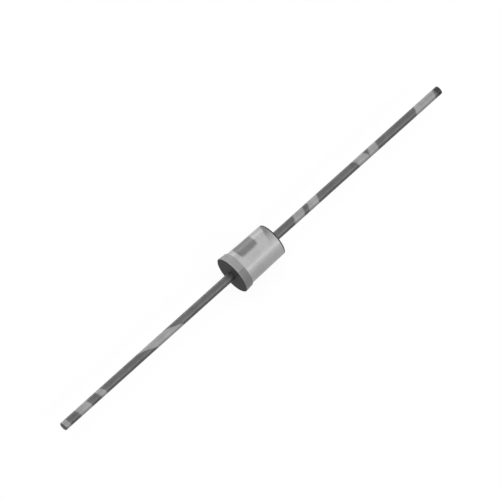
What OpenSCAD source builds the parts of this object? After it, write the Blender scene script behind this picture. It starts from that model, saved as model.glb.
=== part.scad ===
// Axial-lead rectifier diode: a silicon die soldered between the nail heads of
// two plated copper leads, coated round its edge and sealed in a moulding.
//
// Every outline is a list of [radius, position along the axis] points, turned
// about the lead axis, which is X. The die's middle is at the origin. The
// cathode, with its band, is on the -X side and the anode on the +X side.

/* [Leads] */
// Diameter of the round lead wire
lead_d = 1.27; // [1:0.01:1.5]
// Length of each lead outside the moulding
lead_len = 32.3; // [15:0.1:45]
// Chamfer that the shear leaves round a lead's cut tip
tip_chamfer = 0.1; // [0.02:0.01:0.25]
// Diameter of the nail head formed on a lead's inner end
head_d = 3.2; // [3.1:0.05:3.6]
// Thickness of the nail head at its rim
head_rim = 0.5; // [0.4:0.05:0.8]
// Radius of the fillet between the nail head and the wire's neck
head_fillet = 0.35; // [0.1:0.05:0.5]
// How far the neck that heading leaves behind the nail head swells past the wire
neck_swell = 0.12; // [0.04:0.02:0.3]

/* [Junction] */
// Side of the square silicon die
die_w = 2.1; // [1.4:0.05:2.25]
// Thickness of the silicon die
die_t = 0.28; // [0.2:0.02:0.4]
// Thickness of each solder joint
solder_t = 0.08; // [0.04:0.01:0.15]
// How far the junction coating laps over each nail head's rim
coating_lap = 0.25; // [0.1:0.05:0.35]
// How far the junction coating bulges out past the nail heads
coating_bulge = 0.3; // [0.1:0.05:0.5]

/* [Moulding] */
// Length of the moulding along the leads
body_len = 7.8; // [6:0.1:9.5]
// Diameter of the barrel where it meets the collar
barrel_d = 5.32; // [4.6:0.02:5.8]
// Draft of the barrel on each side, in degrees
barrel_draft = 1.1; // [0:0.1:2]
// Radius of the round at the barrel's end face
barrel_round = 0.16; // [0.05:0.01:0.3]
// Length of the collar at the cathode end
collar_len = 1.27; // [0.8:0.01:2]
// How far the banded collar stands out past the barrel at its step
collar_rise = 0.16; // [0.1:0.01:0.3]
// Draft of the collar on each side, in degrees
collar_draft = 5; // [0:0.5:8]
// Radius of the round at the collar's end face
collar_round = 0.08; // [0.04:0.01:0.15]

/* [Cathode band] */
// Thickness of the band's ink over the collar
band_t = 0.05; // [0.03:0.01:0.08]

/* [Hidden] */

// Facets of a full turn, and steps of each arc in an outline
turn_fn = 96;
arc_steps = 8;

lead_r = lead_d / 2;
neck_r = lead_r + neck_swell;
head_r = head_d / 2;
barrel_r = barrel_d / 2;

// Places along the axis, counted outwards from the die's middle
die_face = die_t / 2;
head_face = die_face + solder_t;
head_back = head_face + head_rim;
coating_end = head_face + coating_lap;
body_end = body_len / 2;
lead_tip = body_end + lead_len;

// The collar's step, which faces the anode
step_x = collar_len - body_end;

// Radius of the barrel's side at a place x along the axis
function barrel_side(x) = barrel_r - tan(barrel_draft) * (x - step_x);

// Radius of the band's face over the collar, and of the collar's own side
function band_side(x) = barrel_r + collar_rise + tan(collar_draft) * (step_x - x);
function collar_side(x) = band_side(x) - band_t;

// Points of an arc; its angles are measured from the radius towards +X
function arc(centre, r, a0, a1) = [
    for (i = [0 : arc_steps])
        let (a = a0 + (a1 - a0) * i / arc_steps)
        centre + r * [cos(a), sin(a)]
];

// Round between an end face at x and a side that leans in by draft degrees
// towards +X and would meet the face at side_r; end is -1 or 1 along X
function edge_round(side_r, x, r, draft, end) =
    let (centre = [side_r - r * (1 - end * sin(draft)) / cos(draft), x - end * r])
    end < 0 ? arc(centre, r, -90, draft) : arc(centre, r, draft, 90);

// An outline walked the other way, and one seen in a mirror at the die
function reversed(points) = [for (i = [len(points) - 1 : -1 : 0]) points[i]];
function flipped(points) = [for (p = points) [p[0], -p[1]]];

// Back of a nail head, its fillet, and the neck, which tapers to the wire and
// so locks the lead in the moulding
head_shoulder = concat(
    [[head_r, head_back]],
    arc([neck_r, head_back] + head_fillet * [1, 1], head_fillet, -90, -180),
    [[lead_r, body_end]]
);

// A whole lead, from the nail head's face to the cut tip
lead_outline = concat(
    [[0, head_face], [head_r, head_face]],
    head_shoulder,
    [
        [lead_r, lead_tip - tip_chamfer],
        [lead_r - tip_chamfer, lead_tip],
        [0, lead_tip]
    ]
);

// The coating's meniscus, one arc from nail head rim to nail head rim
meniscus_r = (pow(coating_end, 2) + pow(coating_bulge, 2)) / (2 * coating_bulge);
meniscus_half = 2 * atan(coating_bulge / coating_end);
meniscus_centre = [head_r + coating_bulge - meniscus_r, 0];
meniscus = arc(meniscus_centre, meniscus_r, -meniscus_half, meniscus_half);

// Surface of all that the compound flowed round, from end face to end face
embedded_outline = concat(
    reversed(flipped(head_shoulder)),
    meniscus,
    head_shoulder
);

// The moulding's two end edges
collar_edge = edge_round(collar_side(-body_end), -body_end, collar_round, collar_draft, -1);
barrel_edge = edge_round(barrel_side(body_end), body_end, barrel_round, barrel_draft, 1);

// The band starts where the collar's end round runs into its side
band_start = collar_edge[arc_steps][1];

// A solid of revolution about X from an outline
module turned(outline) {
    rotate([0, 90, 0])
        rotate_extrude($fn = turn_fn)
            polygon(outline);
}

// A square wafer with the die's outline, from x0 to x1
module wafer(x0, x1) {
    translate([x0, -die_w / 2, -die_w / 2])
        cube([x1 - x0, die_w, die_w]);
}

// One piece of moulding compound, cast round the leads' heads and the coating
module body() {
    color([0.74, 0.74, 0.74])
        turned(concat(
            collar_edge,
            [[collar_side(step_x), step_x], [barrel_side(step_x), step_x]],
            barrel_edge,
            reversed(embedded_outline)
        ));
}

// Ink printed round the collar's side
module cathode_band() {
    color([0.5, 0.5, 0.5])
        turned([
            [collar_side(band_start), band_start],
            [band_side(band_start), band_start],
            [band_side(step_x), step_x],
            [collar_side(step_x), step_x]
        ]);
}

module cathode_lead() {
    color([0.62, 0.62, 0.62])
        turned(flipped(lead_outline));
}

module anode_lead() {
    color([0.62, 0.62, 0.62])
        turned(lead_outline);
}

module silicon_die() {
    color([0.3, 0.32, 0.36])
        wafer(-die_face, die_face);
}

module cathode_solder() {
    color([0.56, 0.57, 0.58])
        wafer(-head_face, -die_face);
}

module anode_solder() {
    color([0.56, 0.57, 0.58])
        wafer(die_face, head_face);
}

// Silicone rubber that fills the gap between the heads round the square die
module junction_coating() {
    color([0.93, 0.92, 0.89])
        difference() {
            turned(concat(
                [[0, -head_face], [head_r, -head_face]],
                meniscus,
                [[head_r, head_face], [0, head_face]]
            ));
            wafer(-head_face, head_face);
        }
}

body();
cathode_band();
cathode_lead();
anode_lead();
silicon_die();
cathode_solder();
anode_solder();
junction_coating();
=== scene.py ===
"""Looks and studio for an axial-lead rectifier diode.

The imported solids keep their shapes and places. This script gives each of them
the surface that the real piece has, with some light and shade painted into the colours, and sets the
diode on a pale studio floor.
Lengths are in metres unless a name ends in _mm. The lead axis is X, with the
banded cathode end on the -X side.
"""

import logging
import math
from dataclasses import dataclass
from enum import Enum

import bpy
from mathutils import Matrix, Vector


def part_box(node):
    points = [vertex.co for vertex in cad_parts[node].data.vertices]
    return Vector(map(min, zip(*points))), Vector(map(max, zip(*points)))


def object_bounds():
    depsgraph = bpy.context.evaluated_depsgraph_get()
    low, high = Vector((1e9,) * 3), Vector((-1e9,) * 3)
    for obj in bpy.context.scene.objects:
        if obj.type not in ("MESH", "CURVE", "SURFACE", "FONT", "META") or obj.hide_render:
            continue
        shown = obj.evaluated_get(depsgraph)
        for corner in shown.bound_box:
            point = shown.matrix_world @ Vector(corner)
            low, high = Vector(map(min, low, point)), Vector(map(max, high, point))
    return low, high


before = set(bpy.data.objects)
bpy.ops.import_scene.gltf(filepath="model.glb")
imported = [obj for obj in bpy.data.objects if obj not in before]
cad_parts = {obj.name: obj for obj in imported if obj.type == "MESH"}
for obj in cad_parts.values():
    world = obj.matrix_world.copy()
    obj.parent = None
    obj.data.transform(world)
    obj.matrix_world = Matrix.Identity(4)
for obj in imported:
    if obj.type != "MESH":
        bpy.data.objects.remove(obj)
cad_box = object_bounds()

MM = 0.001
# Noise has nearly all its values between these two.
NOISE_LOW = 0.3
NOISE_HIGH = 0.7
LOG = logging.getLogger("diode")

Socket = bpy.types.NodeSocket
Value = float | int | tuple[float, ...] | Socket


class Piece(Enum):
    """Names of the diode's pieces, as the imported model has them."""

    BODY = "body"
    BAND = "cathode_band"
    CATHODE_LEAD = "cathode_lead"
    ANODE_LEAD = "anode_lead"
    DIE = "silicon_die"
    CATHODE_SOLDER = "cathode_solder"
    ANODE_SOLDER = "anode_solder"
    COATING = "junction_coating"


def linear(hex_colour: str) -> tuple[float, float, float, float]:
    """Turns an sRGB hex colour into linear light.

    Args:
        hex_colour: Six hex digits, such as "8a8a8a".

    Returns:
        Red, green, blue and an alpha of 1.
    """
    parts = [int(hex_colour[i : i + 2], 16) / 255 for i in (0, 2, 4)]
    r, g, b = (p / 12.92 if p <= 0.04045 else ((p + 0.055) / 1.055) ** 2.4 for p in parts)
    return r, g, b, 1.0


def per_mm(size_mm: float) -> float:
    """Returns the texture scale whose features are size_mm across."""
    return 1 / (size_mm * MM)


def add_node(
    tree: bpy.types.NodeTree,
    kind: str,
    inputs: dict[str | int, Value] | None = None,
    **settings: object,
) -> bpy.types.Node:
    """Adds one shader node, with its settings, its values and its links.

    Args:
        tree: The node tree that takes the node.
        kind: The node's type, less the leading "ShaderNode".
        inputs: Input name or number to the socket that feeds it, or to its value.
        settings: The node's own properties.

    Returns:
        The new node.
    """
    node = tree.nodes.new("ShaderNode" + kind)
    for name, value in settings.items():
        setattr(node, name, value)
    for name, value in (inputs or {}).items():
        if isinstance(value, Socket):
            tree.links.new(value, node.inputs[name])
        else:
            node.inputs[name].default_value = value
    return node


@dataclass(frozen=True)
class Finish:
    """One surface finish; each subclass draws the nodes of its own material."""

    name: str

    def material(self) -> bpy.types.Material:
        """Builds the finish as a node material.

        Returns:
            The material, ready to be given to a piece.
        """
        made = bpy.data.materials.new(self.name)
        made.use_nodes = True
        made.node_tree.nodes.clear()
        surface = self.surface(made.node_tree)
        add_node(made.node_tree, "OutputMaterial", {"Surface": surface})
        return made

    def surface(self, tree: bpy.types.NodeTree) -> Socket:
        """Draws the finish's nodes.

        Args:
            tree: The material's empty node tree.

        Returns:
            The shader socket for the material's surface.
        """
        raise NotImplementedError


@dataclass(frozen=True)
class PaintedReflectionPatch:
    """A stretch of a lead drawn paler than elsewhere: a painted reflection."""

    start_mm: float
    end_mm: float
    slant: float = 0.3


@dataclass(frozen=True)
class TinnedCopper(Finish):
    """Tin-plated copper wire, drawn and then dipped.

    To the eye it is a soft grey metal, dull greyed tin, with faint lines along the draw.
    Paler stretches along it are painted reflections, and its sheared end is drawn dark as painted shade.
    """

    root_mm: float = 0.0
    outward: int = 1
    tip_mm: float = 0.0
    reflection_patches: tuple[PaintedReflectionPatch, ...] = ()
    greyed: str = "575757"
    # Colour of the paler stretches: painted reflections.
    painted_reflection: str = "888888"
    # Colour of the sheared end and the stretch before it: painted shade.
    shaded_cut: str = "383838"
    shaded_cut_mm: float = 0.08
    # Real draw lines are about 0.02 mm apart, too fine to show; drawn at 0.16 mm.
    draw_line_mm: float = 0.16
    wobble_mm: float = 0.5
    mottle_mm: float = 1.4
    reflection_edge_mm: float = 0.12

    def surface(self, tree: bpy.types.NodeTree) -> Socket:
        """Draws greyed tin with painted reflections, draw lines and the sheared end in painted shade.

        Args:
            tree: The material's empty node tree.

        Returns:
            The shader socket for the material's surface.
        """
        place = add_node(tree, "TexCoord").outputs["Object"]
        split = add_node(tree, "SeparateXYZ", {"Vector": place})
        mottle = add_node(
            tree, "TexNoise", {"Vector": place, "Scale": per_mm(self.mottle_mm), "Detail": 3.0}
        ).outputs["Fac"]
        along = add_node(
            tree,
            "Math",
            {0: split.outputs["X"], 1: self.outward / MM, 2: -self.root_mm},
            operation="MULTIPLY_ADD",
        ).outputs[0]
        wobbled = add_node(
            tree,
            "Math",
            {0: mottle, 1: self.wobble_mm, 2: along},
            operation="MULTIPLY_ADD",
        ).outputs[0]
        # Paler stretches along the lead: painted reflections.
        painted_reflection_mask = self._painted_reflection_mask(tree, wobbled, split.outputs["Y"])
        tin = add_node(
            tree,
            "Mix",
            {0: painted_reflection_mask, 6: linear(self.greyed), 7: linear(self.painted_reflection)},
            data_type="RGBA",
        ).outputs[2]
        shade = add_node(
            tree, "MapRange", {0: mottle, 1: NOISE_LOW, 2: NOISE_HIGH, 3: 0.86, 4: 1.08}
        ).outputs[0]
        mottled = add_node(
            tree,
            "Mix",
            {0: 1.0, 6: tin, 7: shade},
            data_type="RGBA",
            blend_type="MULTIPLY",
        ).outputs[2]
        # Mask of the sheared end, drawn dark as painted shade.
        end = add_node(
            tree,
            "MapRange",
            {0: along, 1: self.tip_mm - self.shaded_cut_mm, 2: self.tip_mm - self.shaded_cut_mm + 0.03, 3: 0.0, 4: 1.0},
        ).outputs[0]
        colour = add_node(
            tree, "Mix", {0: end, 6: mottled, 7: linear(self.shaded_cut)}, data_type="RGBA"
        ).outputs[2]
        lines = self._draw_lines(tree, place)
        roughness = add_node(
            tree, "MapRange", {0: painted_reflection_mask, 1: 0.0, 2: 1.0, 3: 0.34, 4: 0.5}
        ).outputs[0]
        rough = add_node(
            tree, "Math", {0: lines, 1: 0.12, 2: roughness}, operation="MULTIPLY_ADD"
        ).outputs[0]
        bump = add_node(
            tree, "Bump", {"Strength": 0.25, "Distance": 0.01 * MM, "Height": lines}
        ).outputs[0]
        return add_node(
            tree,
            "BsdfPrincipled",
            {"Base Color": colour, "Metallic": 1.0, "Roughness": rough, "Normal": bump},
        ).outputs[0]

    def _painted_reflection_mask(self, tree: bpy.types.NodeTree, along: Socket, across: Socket) -> Socket:
        """Draws 1 in the painted reflections and 0 elsewhere.

        Args:
            tree: The material's node tree.
            along: Distance in mm from the moulding's end face.
            across: Distance in metres across the lead.

        Returns:
            The mask's socket.
        """
        mask: Socket | None = None
        for patch in self.reflection_patches:
            leaning = add_node(
                tree,
                "Math",
                {0: across, 1: -patch.slant / MM, 2: along},
                operation="MULTIPLY_ADD",
            ).outputs[0]
            middle = (patch.start_mm + patch.end_mm + self.wobble_mm) / 2
            half = (patch.end_mm - patch.start_mm) / 2
            off = add_node(
                tree, "Math", {0: leaning, 1: middle}, operation="SUBTRACT"
            ).outputs[0]
            away = add_node(tree, "Math", {0: off}, operation="ABSOLUTE").outputs[0]
            inner = half - self.reflection_edge_mm
            outer = half + self.reflection_edge_mm
            spot = add_node(
                tree, "MapRange", {0: away, 1: inner, 2: outer, 3: 1.0, 4: 0.0}
            ).outputs[0]
            if mask is None:
                mask = spot
            else:
                mask = add_node(tree, "Math", {0: mask, 1: spot}, operation="MAXIMUM").outputs[0]
        return mask

    def _draw_lines(self, tree: bpy.types.NodeTree, place: Socket) -> Socket:
        """Draws fine lines that run along the wire, as the drawing die leaves.

        Args:
            tree: The material's node tree.
            place: The point in the row frame.

        Returns:
            The lines' height, from 0 to 1.
        """
        stretched = add_node(
            tree, "Mapping", {"Vector": place, "Scale": (0.02, 1.0, 1.0)}
        ).outputs[0]
        return add_node(
            tree,
            "TexNoise",
            {"Vector": stretched, "Scale": per_mm(self.draw_line_mm), "Detail": 2.0},
        ).outputs["Fac"]


@dataclass(frozen=True)
class PaintedReflectionSpot:
    """A darker place on the moulding's lacquer: a painted dark reflection."""

    middle_mm: float
    half_mm: float
    middle_deg: float
    half_deg: float
    slant: float = 0.0
    depth: float = 0.5
    fade_deg: float = 3.0


@dataclass(frozen=True)
class LacqueredEpoxy(Finish):
    """Filled epoxy moulding material, transfer moulded, its side lacquered silver-grey.

    The lacquer gives a satin silver with a clear gloss over fine flake, with darker
    places that are painted dark reflections. The two end faces are left unlacquered:
    near black, fine-grained and dull, dark moulding deepened as painted shade.
    """

    low_mm: float = 0.0
    high_mm: float = 0.0
    lacquer: str = "b0b0b0"
    # Near black of the end faces: dark moulding deepened as painted shade.
    dark_compound_and_shade: str = "202020"
    # Real flake is about 0.03 mm, too fine to show; drawn at 0.2 mm.
    flake_mm: float = 0.2
    # Orange peel in a thin air-dried lacquer repeats about every half millimetre.
    peel_mm: float = 0.45
    cloud_mm: float = 2.2
    rim_edge_mm: float = 0.03
    # Darker places on the lacquer: painted dark reflections.
    reflection_spots: tuple[PaintedReflectionSpot, ...] = ()

    def surface(self, tree: bpy.types.NodeTree) -> Socket:
        """Draws the lacquered side with its painted dark reflections, and the unlacquered end faces, near
        black partly as painted shade.

        Args:
            tree: The material's empty node tree.

        Returns:
            The shader socket for the material's surface.
        """
        place = add_node(tree, "TexCoord").outputs["Object"]
        split = add_node(tree, "SeparateXYZ", {"Vector": place}).outputs
        along = split["X"]
        cloud = add_node(
            tree, "TexNoise", {"Vector": place, "Scale": per_mm(self.cloud_mm), "Detail": 3.0}
        ).outputs["Fac"]
        flake = add_node(
            tree, "TexNoise", {"Vector": place, "Scale": per_mm(self.flake_mm), "Detail": 1.0}
        ).outputs["Fac"]
        peel = add_node(
            tree, "TexNoise", {"Vector": place, "Scale": per_mm(self.peel_mm), "Detail": 2.0}
        ).outputs["Fac"]
        # Lacquered-side mask; outside it the end faces and a rim at each end take the near black, partly
        # painted shade.
        low_end = (self.low_mm + self.rim_edge_mm) * MM
        low = add_node(
            tree, "MapRange", {0: along, 1: self.low_mm * MM, 2: low_end, 3: 0.0, 4: 1.0}
        ).outputs[0]
        high_start = (self.high_mm - self.rim_edge_mm) * MM
        side = add_node(
            tree, "MapRange", {0: along, 1: high_start, 2: self.high_mm * MM, 3: 1.0, 4: 0.0}
        ).outputs[0]
        painted = add_node(tree, "Math", {0: low, 1: side}, operation="MULTIPLY").outputs[0]
        clouded = add_node(
            tree, "MapRange", {0: cloud, 1: NOISE_LOW, 2: NOISE_HIGH, 3: 0.92, 4: 1.05}
        ).outputs[0]
        sparkle = add_node(
            tree, "MapRange", {0: flake, 1: 0.35, 2: 0.7, 3: 0.95, 4: 1.08}
        ).outputs[0]
        tone = add_node(tree, "Math", {0: clouded, 1: sparkle}, operation="MULTIPLY").outputs[0]
        round_x = add_node(
            tree, "Math", {0: split["Y"], 1: split["Z"]}, operation="ARCTAN2"
        ).outputs[0]
        # Painted dark reflections darken the lacquer's tone.
        for spot in self.reflection_spots:
            left_after_painted_dark = self._painted_reflection_tone(tree, spot, along, round_x, cloud)
            tone = add_node(tree, "Math", {0: tone, 1: left_after_painted_dark}, operation="MULTIPLY").outputs[0]
        # The near-black end faces are partly painted shade.
        shaded_ends_and_lacquer = add_node(
            tree, "Mix", {0: painted, 6: linear(self.dark_compound_and_shade), 7: linear(self.lacquer)}, data_type="RGBA"
        ).outputs[2]
        colour = add_node(
            tree, "Mix", {0: 1.0, 6: shaded_ends_and_lacquer, 7: tone}, data_type="RGBA", blend_type="MULTIPLY"
        ).outputs[2]
        metal = add_node(
            tree, "Math", {0: painted, 1: 0.35}, operation="MULTIPLY"
        ).outputs[0]
        dull = add_node(
            tree, "MapRange", {0: painted, 1: 0.0, 2: 1.0, 3: 0.9, 4: 0.4}
        ).outputs[0]
        rough = add_node(
            tree, "Math", {0: flake, 1: 0.08, 2: dull}, operation="MULTIPLY_ADD"
        ).outputs[0]
        bump = add_node(
            tree, "Bump", {"Strength": 0.12, "Distance": 0.01 * MM, "Height": peel}
        ).outputs[0]
        return add_node(
            tree,
            "BsdfPrincipled",
            {
                "Base Color": colour,
                "Metallic": metal,
                "Roughness": rough,
                "IOR": 1.5,
                "Coat Weight": 0.1,
                "Coat Roughness": 0.25,
                "Normal": bump,
            },
        ).outputs[0]


    def _painted_reflection_tone(
        self,
        tree: bpy.types.NodeTree,
        spot: PaintedReflectionSpot,
        along: Socket,
        round_x: Socket,
        cloud: Socket,
    ) -> Socket:
        """Draws one painted dark reflection on the lacquer.

        Args:
            tree: The material's node tree.
            spot: The spot's place and size.
            along: Distance in metres along the diode.
            round_x: Angle round the diode from its top, in radians.
            cloud: Soft noise that bends the spot's edge.

        Returns:
            The share of the lacquer's tone that is left, 1 outside the spot.
        """
        reach = add_node(
            tree, "Math", {0: round_x, 1: -spot.slant * MM, 2: along}, operation="MULTIPLY_ADD"
        ).outputs[0]
        inside: list[Socket] = []
        middle_angle = math.radians(spot.middle_deg)
        half_angle = math.radians(spot.half_deg)
        for value, middle, half, wobble, fade in (
            (reach, spot.middle_mm * MM, spot.half_mm * MM, 0.5 * MM, 0.25 * MM),
            (round_x, middle_angle, half_angle, 0.25, math.radians(spot.fade_deg)),
        ):
            off = add_node(tree, "Math", {0: value, 1: middle}, operation="SUBTRACT").outputs[0]
            away = add_node(tree, "Math", {0: off}, operation="ABSOLUTE").outputs[0]
            bent = add_node(
                tree, "Math", {0: cloud, 1: wobble, 2: away}, operation="MULTIPLY_ADD"
            ).outputs[0]
            inside.append(
                add_node(
                    tree, "MapRange", {0: bent, 1: half, 2: half + fade, 3: 1.0, 4: 0.0}
                ).outputs[0]
            )
        both = add_node(
            tree, "Math", {0: inside[0], 1: inside[1]}, operation="MULTIPLY"
        ).outputs[0]
        return add_node(
            tree, "MapRange", {0: both, 1: 0.0, 2: 1.0, 3: 1.0, 4: 1.0 - spot.depth}
        ).outputs[0]


@dataclass(frozen=True)
class PaintedShadeArc:
    """A stretch round the band drawn darker: painted shade."""

    from_deg: float
    to_deg: float
    tone: float


@dataclass(frozen=True)
class BandInk(Finish):
    """Epoxy marking ink, rolled on.

    A flat mid-grey with the faint streaks of the roller and a paler front edge,
    and two arcs round it drawn darker as painted shade.
    """

    front_mm: float = 0.0
    ink: str = "a6a6a6"
    # A paler strip 0.1 mm wide along the band's front edge.
    pale_front_edge: str = "bcbcbc"
    streak_mm: float = 0.25
    # The pigment's grain is about 0.02 mm, too fine to show; drawn at 0.15 mm.
    grain_mm: float = 0.15
    pale_front_mm: float = 0.1
    # Arcs drawn darker, painted shade: one on the -Y side from -112 to -22 degrees, one on the +Y side
    # from 66 to 112 degrees.
    painted_shade_arcs: tuple[PaintedShadeArc, ...] = (PaintedShadeArc(-112.0, -22.0, 0.66), PaintedShadeArc(66.0, 112.0, 0.7))

    def surface(self, tree: bpy.types.NodeTree) -> Socket:
        """Draws the ink, its streaks, its pale front edge and its painted shade.

        Args:
            tree: The material's empty node tree.

        Returns:
            The shader socket for the material's surface.
        """
        place = add_node(tree, "TexCoord").outputs["Object"]
        along = add_node(tree, "SeparateXYZ", {"Vector": place}).outputs["X"]
        rolled = add_node(
            tree, "Mapping", {"Vector": place, "Scale": (1.0, 0.25, 0.25)}
        ).outputs[0]
        streak = add_node(
            tree, "TexNoise", {"Vector": rolled, "Scale": per_mm(self.streak_mm), "Detail": 3.0}
        ).outputs["Fac"]
        grain = add_node(
            tree, "TexNoise", {"Vector": place, "Scale": per_mm(self.grain_mm), "Detail": 2.0}
        ).outputs["Fac"]
        edge = add_node(
            tree,
            "MapRange",
            {0: along, 1: self.front_mm * MM, 2: (self.front_mm + self.pale_front_mm) * MM, 3: 1.0, 4: 0.0},
        ).outputs[0]
        flat = add_node(
            tree, "Mix", {0: edge, 6: linear(self.ink), 7: linear(self.pale_front_edge)}, data_type="RGBA"
        ).outputs[2]
        tone = add_node(
            tree, "MapRange", {0: streak, 1: NOISE_LOW, 2: NOISE_HIGH, 3: 0.9, 4: 1.07}
        ).outputs[0]
        split = add_node(tree, "SeparateXYZ", {"Vector": place}).outputs
        round_x = add_node(
            tree, "Math", {0: split["Y"], 1: split["Z"]}, operation="ARCTAN2"
        ).outputs[0]
        # Painted shade: each arc darkens the ink's tone.
        for shade_arc in self.painted_shade_arcs:
            middle = math.radians(shade_arc.from_deg + shade_arc.to_deg) / 2
            half = math.radians(shade_arc.to_deg - shade_arc.from_deg) / 2
            off = add_node(tree, "Math", {0: round_x, 1: middle}, operation="SUBTRACT").outputs[0]
            away = add_node(tree, "Math", {0: off}, operation="ABSOLUTE").outputs[0]
            left_after_painted_dark = add_node(
                tree, "MapRange", {0: away, 1: half - 0.04, 2: half, 3: shade_arc.tone, 4: 1.0}
            ).outputs[0]
            tone = add_node(tree, "Math", {0: tone, 1: left_after_painted_dark}, operation="MULTIPLY").outputs[0]
        colour = add_node(
            tree, "Mix", {0: 1.0, 6: flat, 7: tone}, data_type="RGBA", blend_type="MULTIPLY"
        ).outputs[2]
        rough = add_node(
            tree, "MapRange", {0: grain, 1: NOISE_LOW, 2: NOISE_HIGH, 3: 0.42, 4: 0.58}
        ).outputs[0]
        bump = add_node(
            tree, "Bump", {"Strength": 0.2, "Distance": 0.008 * MM, "Height": grain}
        ).outputs[0]
        return add_node(
            tree,
            "BsdfPrincipled",
            {"Base Color": colour, "Roughness": rough, "IOR": 1.5, "Normal": bump},
        ).outputs[0]


@dataclass(frozen=True)
class GrainedSolid(Finish):
    """A plain solid with a fine grain, for the pieces sealed in the moulding."""

    dark: str = "000000"
    pale: str = "ffffff"
    grain_mm: float = 0.1
    metallic: float = 0.0
    roughness: float = 0.5
    relief_mm: float = 0.005

    def surface(self, tree: bpy.types.NodeTree) -> Socket:
        """Draws the grain in the colour, the roughness and the bump.

        Args:
            tree: The material's empty node tree.

        Returns:
            The shader socket for the material's surface.
        """
        place = add_node(tree, "TexCoord").outputs["Object"]
        grain = add_node(
            tree, "TexNoise", {"Vector": place, "Scale": per_mm(self.grain_mm), "Detail": 3.0}
        ).outputs["Fac"]
        colour = add_node(
            tree, "Mix", {0: grain, 6: linear(self.dark), 7: linear(self.pale)}, data_type="RGBA"
        ).outputs[2]
        rough = add_node(
            tree,
            "MapRange",
            {0: grain, 1: NOISE_LOW, 2: NOISE_HIGH, 3: self.roughness - 0.06, 4: self.roughness + 0.06},
        ).outputs[0]
        bump = add_node(
            tree, "Bump", {"Strength": 0.3, "Distance": self.relief_mm * MM, "Height": grain}
        ).outputs[0]
        return add_node(
            tree,
            "BsdfPrincipled",
            {
                "Base Color": colour,
                "Metallic": self.metallic,
                "Roughness": rough,
                "Normal": bump,
            },
        ).outputs[0]


@dataclass(frozen=True)
class PaleFloor(Finish):
    """A matt pale studio floor that reads as white round the object's shadow."""

    board: str = "606060"
    glow: float = 0.92
    fibre_mm: float = 0.8

    def surface(self, tree: bpy.types.NodeTree) -> Socket:
        """Draws the matt board and the white that the camera and gloss see.

        Args:
            tree: The material's empty node tree.

        Returns:
            The shader socket for the material's surface.
        """
        path = add_node(tree, "LightPath")
        clear = add_node(
            tree,
            "Math",
            {0: path.outputs["Is Glossy Ray"], 1: path.outputs["Is Transmission Ray"]},
            operation="ADD",
        ).outputs[0]
        place = add_node(tree, "TexCoord").outputs["Object"]
        seen = add_node(
            tree, "Math", {0: clear, 1: path.outputs["Is Camera Ray"]}, operation="ADD"
        ).outputs[0]
        strength = add_node(
            tree, "Math", {0: seen, 1: self.glow}, operation="MULTIPLY"
        ).outputs[0]
        fibre = add_node(
            tree,
            "TexNoise",
            {"Vector": place, "Scale": per_mm(self.fibre_mm)},
        ).outputs["Fac"]
        bump = add_node(
            tree, "Bump", {"Strength": 0.05, "Distance": 0.01 * MM, "Height": fibre}
        ).outputs[0]
        matt = add_node(
            tree, "BsdfDiffuse", {"Color": linear(self.board), "Normal": bump}
        ).outputs[0]
        white = add_node(
            tree, "Emission", {"Color": (1.0, 1.0, 1.0, 1.0), "Strength": strength}
        ).outputs[0]
        return add_node(tree, "AddShader", {0: matt, 1: white}).outputs[0]


def dress(piece: Piece, finish: Finish) -> None:
    """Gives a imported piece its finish.

    Args:
        piece: The piece to dress.
        finish: The finish that its whole surface takes.
    """
    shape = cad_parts[piece.value]
    material = finish.material()
    shape.data.materials.clear()
    shape.data.materials.append(material)
    LOG.info("%s: %s", piece.value, finish.name)


@dataclass
class Leads:
    """The two nail-headed leads, from the moulding out to their sheared tips."""

    # Paler stretches, painted reflections: start and end in mm from the moulding, and slant.
    cathode_reflections: tuple[PaintedReflectionPatch, ...] = (
        PaintedReflectionPatch(11.4, 16.4, 2.6),
        PaintedReflectionPatch(24.7, 25.6, 0.4),
        PaintedReflectionPatch(27.5, 29.5, 0.3),
        PaintedReflectionPatch(31.4, 32.2, 0.3),
    )
    anode_reflections: tuple[PaintedReflectionPatch, ...] = (
        PaintedReflectionPatch(4.1, 5.9, 0.4),
        PaintedReflectionPatch(6.8, 8.7, 0.4),
        PaintedReflectionPatch(16.0, 18.0, -0.4),
        PaintedReflectionPatch(18.5, 20.1, 0.4),
        PaintedReflectionPatch(27.6, 31.2, 0.4),
    )

    def dress(self) -> None:
        """Gives each lead tinned copper with its own painted reflections."""
        body_low, body_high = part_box(Piece.BODY.value)
        cathode_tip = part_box(Piece.CATHODE_LEAD.value)[0].x
        anode_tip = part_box(Piece.ANODE_LEAD.value)[1].x
        dress(
            Piece.CATHODE_LEAD,
            TinnedCopper(
                "tinned copper, cathode",
                root_mm=-body_low.x / MM,
                outward=-1,
                tip_mm=(body_low.x - cathode_tip) / MM,
                reflection_patches=self.cathode_reflections,
            ),
        )
        dress(
            Piece.ANODE_LEAD,
            TinnedCopper(
                "tinned copper, anode",
                root_mm=body_high.x / MM,
                outward=1,
                tip_mm=(anode_tip - body_high.x) / MM,
                reflection_patches=self.anode_reflections,
                # The anode's last 0.8 mm drawn dark: painted shade.
                shaded_cut_mm=0.8,
            ),
        )


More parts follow.
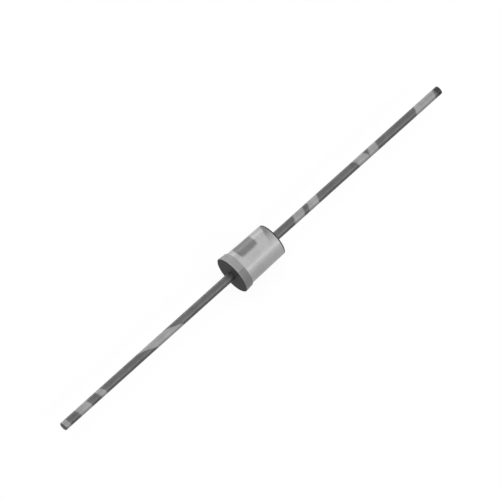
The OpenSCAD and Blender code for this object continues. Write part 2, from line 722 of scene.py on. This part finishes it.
@dataclass
class Moulding:
    """The drafted epoxy moulding and the band printed round its collar."""

    # How far the near black reaches onto the side at each end; the 0.2 mm rim at the high end is painted
    # shade.
    low_shaded_rim_mm: float = 0.02
    high_shaded_rim_mm: float = 0.2
    # Painted dark reflections on the lacquer.
    reflection_spots: tuple[PaintedReflectionSpot, ...] = (
        PaintedReflectionSpot(-0.35, 1.65, 30.0, 31.0, 0.2, 0.6, 9.0),
        PaintedReflectionSpot(4.17, 1.5, 45.0, 24.0, 0.78, 0.66, 48.0),
    )

    def dress(self) -> None:
        """Gives the moulding its lacquer and its near-black ends, dark in part as painted shade, and the
        band its ink.
        """
        low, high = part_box(Piece.BODY.value)
        dress(
            Piece.BODY,
            LacqueredEpoxy(
                "lacquered epoxy",
                low_mm=low.x / MM + self.low_shaded_rim_mm,
                high_mm=high.x / MM - self.high_shaded_rim_mm,
                reflection_spots=self.reflection_spots,
            ),
        )
        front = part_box(Piece.BAND.value)[0].x / MM
        dress(Piece.BAND, BandInk("marking ink", front_mm=front))


@dataclass
class Junction:
    """The sealed stack between the nail heads: die, solder and coating."""

    def dress(self) -> None:
        """Gives the die, the two solder layers and the coating their finishes."""
        dress(
            Piece.DIE,
            GrainedSolid("lapped silicon", "3c3f45", "565a61", 0.05, 0.6, 0.25, 0.001),
        )
        for piece in (Piece.CATHODE_SOLDER, Piece.ANODE_SOLDER):
            dress(piece, GrainedSolid("lead-tin solder", "a2a3a4", "c4c5c6", 0.12, 1.0, 0.35))
        dress(
            Piece.COATING,
            GrainedSolid("silicone rubber", "d8d4ca", "e6e3db", 0.3, 0.0, 0.45, 0.01),
        )


@dataclass(frozen=True)
class Softbox:
    """A rectangular studio lamp, its width along the leads."""

    name: str
    toward: tuple[float, float, float]
    width_mm: float
    height_mm: float
    level: float
    distance_mm: float = 600.0

    def hang(self) -> None:
        """Hangs the lamp so that a matt white facing it renders at its level."""
        out = Vector(self.toward).normalized()
        wide = Vector((1.0, 0.0, 0.0))
        wide = (wide - out * wide.dot(out)).normalized()
        high = out.cross(wide)
        light = bpy.data.lights.new(self.name, "AREA")
        light.shape = "RECTANGLE"
        light.size = self.width_mm * MM
        light.size_y = self.height_mm * MM
        reach = self.distance_mm * MM
        light.energy = math.pi**2 * reach**2 * self.level
        lamp = bpy.data.objects.new(self.name, light)
        turn = Matrix((wide, high, out)).transposed().to_4x4()
        lamp.matrix_world = Matrix.Translation(out * reach) @ turn
        bpy.context.scene.collection.objects.link(lamp)
        LOG.info("%s: level %.2f", self.name, self.level)


@dataclass
class Studio:
    """The pale floor, the white surround, the softboxes and the camera."""

    floor_radius_mm: float = 2500.0
    floor_sides: int = 96
    surround: float = 0.24
    azimuth: float = -44.6
    elevation: float = 65.4
    lens_mm: float = 1000.0
    sensor_mm: float = 36.0
    view_mm: float = 68.5
    aim_right_mm: float = -0.30
    aim_up_mm: float = 1.01
    softboxes: tuple[Softbox, ...] = (
        Softbox("strip light", (0.292, -0.780, 0.550), 520.0, 130.0, 0.26),
        Softbox("overhead box", (0.05, 0.06, 1.0), 1400.0, 1250.0, 0.58, 800.0),
        Softbox("side box", (0.05, 0.985, 0.17), 1000.0, 200.0, 0.42, 700.0),
    )

    def build(self) -> None:
        """Builds the whole studio."""
        self._lay_floor()
        self._light_surround()
        for box in self.softboxes:
            box.hang()
        self._set_camera()
        bpy.context.scene.view_settings.view_transform = "Standard"

    def _lay_floor(self) -> None:
        """Lays a round board just under the object."""
        ring = [
            (
                math.cos(math.tau * k / self.floor_sides) * self.floor_radius_mm * MM,
                math.sin(math.tau * k / self.floor_sides) * self.floor_radius_mm * MM,
                0.0,
            )
            for k in range(self.floor_sides)
        ]
        mesh = bpy.data.meshes.new("studio_floor")
        mesh.from_pydata(ring, [], [tuple(range(self.floor_sides))])
        mesh.materials.append(PaleFloor("matt board").material())
        floor = bpy.data.objects.new("studio_floor", mesh)
        floor.location.z = cad_box[0][2]
        bpy.context.scene.collection.objects.link(floor)

    def _light_surround(self) -> None:
        """Makes the world a soft grey light that is seen as white."""
        world = bpy.data.worlds.new("white surround")
        bpy.context.scene.world = world
        world.use_nodes = True
        tree = world.node_tree
        tree.nodes.clear()
        path = add_node(tree, "LightPath")
        clear = add_node(
            tree,
            "Math",
            {0: path.outputs["Is Glossy Ray"], 1: path.outputs["Is Transmission Ray"]},
            operation="ADD",
        ).outputs[0]
        seen = add_node(
            tree, "Math", {0: clear, 1: path.outputs["Is Camera Ray"]}, operation="ADD"
        ).outputs[0]
        strength = add_node(
            tree,
            "MapRange",
            {0: seen, 1: 0.0, 2: 1.0, 3: self.surround, 4: 1.0},
        ).outputs[0]
        glow = add_node(
            tree, "Background", {"Color": (1.0, 1.0, 1.0, 1.0), "Strength": strength}
        ).outputs[0]
        add_node(tree, "OutputWorld", {"Surface": glow})

    def _set_camera(self) -> None:
        """Sets a long-lens camera that looks down at the diode from the cathode's side."""
        tilt = math.radians(self.elevation)
        swing = math.radians(self.azimuth)
        back = Vector(
            (
                math.sin(swing) * math.cos(tilt),
                -math.cos(swing) * math.cos(tilt),
                math.sin(tilt),
            )
        )
        right = Vector((0.0, 0.0, 1.0)).cross(back).normalized()
        up = back.cross(right)
        aim = (right * self.aim_right_mm + up * self.aim_up_mm) * MM
        reach = self.lens_mm * self.view_mm / self.sensor_mm * MM
        shot = bpy.data.cameras.new("camera")
        shot.lens = self.lens_mm
        shot.sensor_width = self.sensor_mm
        shot.clip_start = reach / 10
        shot.clip_end = reach * 10
        camera = bpy.data.objects.new("camera", shot)
        turn = Matrix((right, up, back)).transposed().to_4x4()
        camera.matrix_world = Matrix.Translation(aim + back * reach) @ turn
        bpy.context.scene.collection.objects.link(camera)
        bpy.context.scene.camera = camera


def main() -> None:
    """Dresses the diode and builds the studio."""
    logging.basicConfig(level=logging.INFO, format="%(name)s: %(message)s")
    Leads().dress()
    Moulding().dress()
    Junction().dress()
    Studio().build()


if __name__ == "__main__":
    main()
